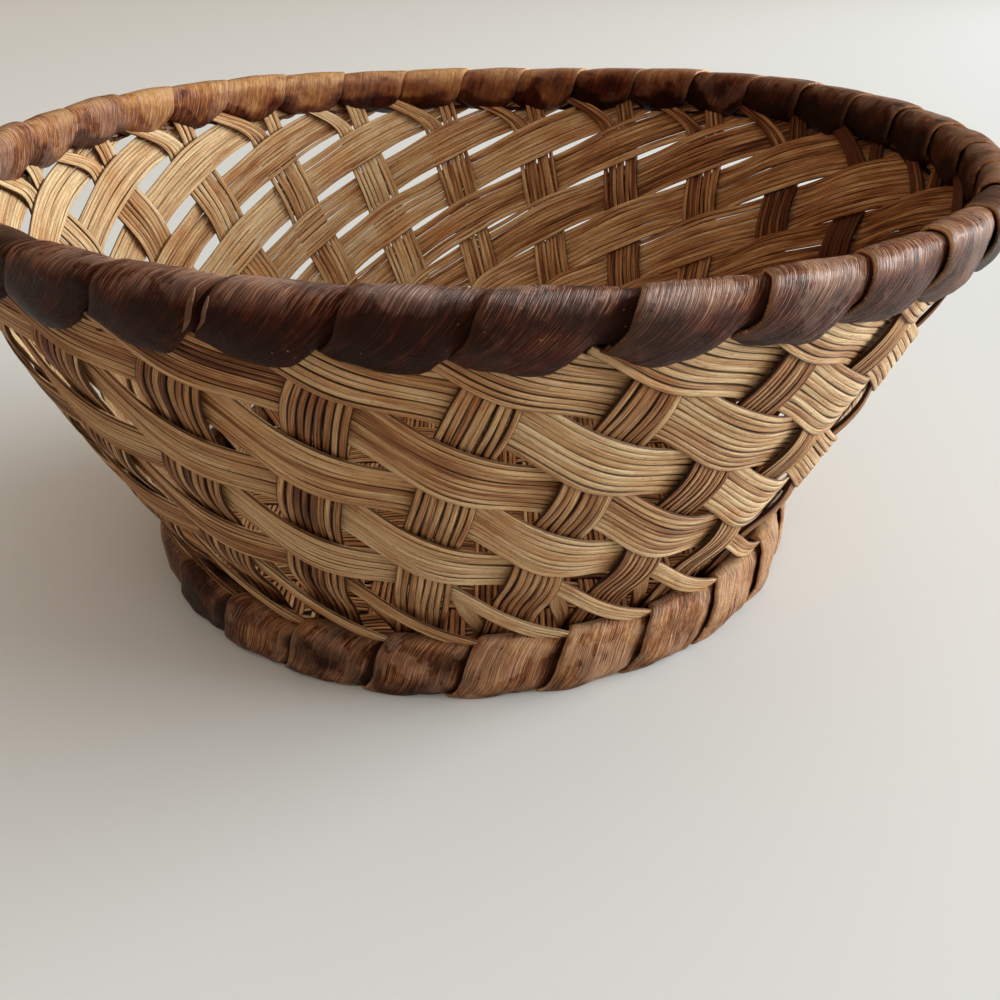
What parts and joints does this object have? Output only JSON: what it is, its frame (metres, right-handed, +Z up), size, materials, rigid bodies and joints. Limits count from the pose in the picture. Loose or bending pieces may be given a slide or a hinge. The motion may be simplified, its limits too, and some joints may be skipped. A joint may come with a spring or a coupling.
{
  "type": "woven basket",
  "caption": "Round open basket with flared sides of splint bundles woven aslant, a floor mat, and bark bound round its rim and its foot ring.",
  "frame": {"origin": "middle of the basket at the height of the table that its foot ring stands on", "axes": "+Z up out of the basket's mouth; +Y to the back of the pictured side, so that -Y faces the viewer"},
  "size_m": [0.3012, 0.3012, 0.1292],
  "materials": {
    "splint_tan": "smooth split cane, slightly glossy",
    "splint_brown": "smooth split cane, darker, slightly glossy",
    "rim_bark": "dark polished bark, streaked along its fibres",
    "foot_bark": "mottled tan bark, satin",
    "hoop_wood": "raw split wood"
  },
  "bodies": {
    "root": {"rim_hoop": "hoop_wood", "rim_wrap": "rim_bark", "foot_hoop": "hoop_wood", "foot_wrap": "foot_bark", "slanting_bundle_01": "splint_tan", "upright_bundle_01": "splint_brown", "slanting_bundle_02": "splint_tan", "upright_bundle_02": "splint_brown", "slanting_bundle_03": "splint_tan", "upright_bundle_03": "splint_brown", "slanting_bundle_04": "splint_tan", "upright_bundle_04": "splint_brown", "slanting_bundle_05": "splint_tan", "upright_bundle_05": "splint_brown", "slanting_bundle_06": "splint_tan", "upright_bundle_06": "splint_brown", "slanting_bundle_07": "splint_tan", "upright_bundle_07": "splint_brown", "slanting_bundle_08": "splint_tan", "upright_bundle_08": "splint_brown", "slanting_bundle_09": "splint_tan", "upright_bundle_09": "splint_brown", "slanting_bundle_10": "splint_tan", "upright_bundle_10": "splint_brown", "slanting_bundle_11": "splint_tan", "upright_bundle_11": "splint_brown", "slanting_bundle_12": "splint_tan", "upright_bundle_12": "splint_brown", "slanting_bundle_13": "splint_tan", "upright_bundle_13": "splint_brown", "slanting_bundle_14": "splint_tan", "upright_bundle_14": "splint_brown", "slanting_bundle_15": "splint_tan", "upright_bundle_15": "splint_brown", "slanting_bundle_16": "splint_tan", "upright_bundle_16": "splint_brown", "slanting_bundle_17": "splint_tan", "upright_bundle_17": "splint_brown", "slanting_bundle_18": "splint_tan", "upright_bundle_18": "splint_brown", "slanting_bundle_19": "splint_tan", "upright_bundle_19": "splint_brown", "slanting_bundle_20": "splint_tan", "upright_bundle_20": "splint_brown", "slanting_bundle_21": "splint_tan", "upright_bundle_21": "splint_brown", "slanting_bundle_22": "splint_tan", "upright_bundle_22": "splint_brown", "slanting_bundle_23": "splint_tan", "upright_bundle_23": "splint_brown", "slanting_bundle_24": "splint_tan", "upright_bundle_24": "splint_brown", "floor_strip_across_1": "splint_tan", "floor_strip_along_1": "splint_brown", "floor_strip_across_2": "splint_tan", "floor_strip_along_2": "splint_brown", "floor_strip_across_3": "splint_tan", "floor_strip_along_3": "splint_brown", "floor_strip_across_4": "splint_tan", "floor_strip_along_4": "splint_brown"}
  },
  "joints": []
}
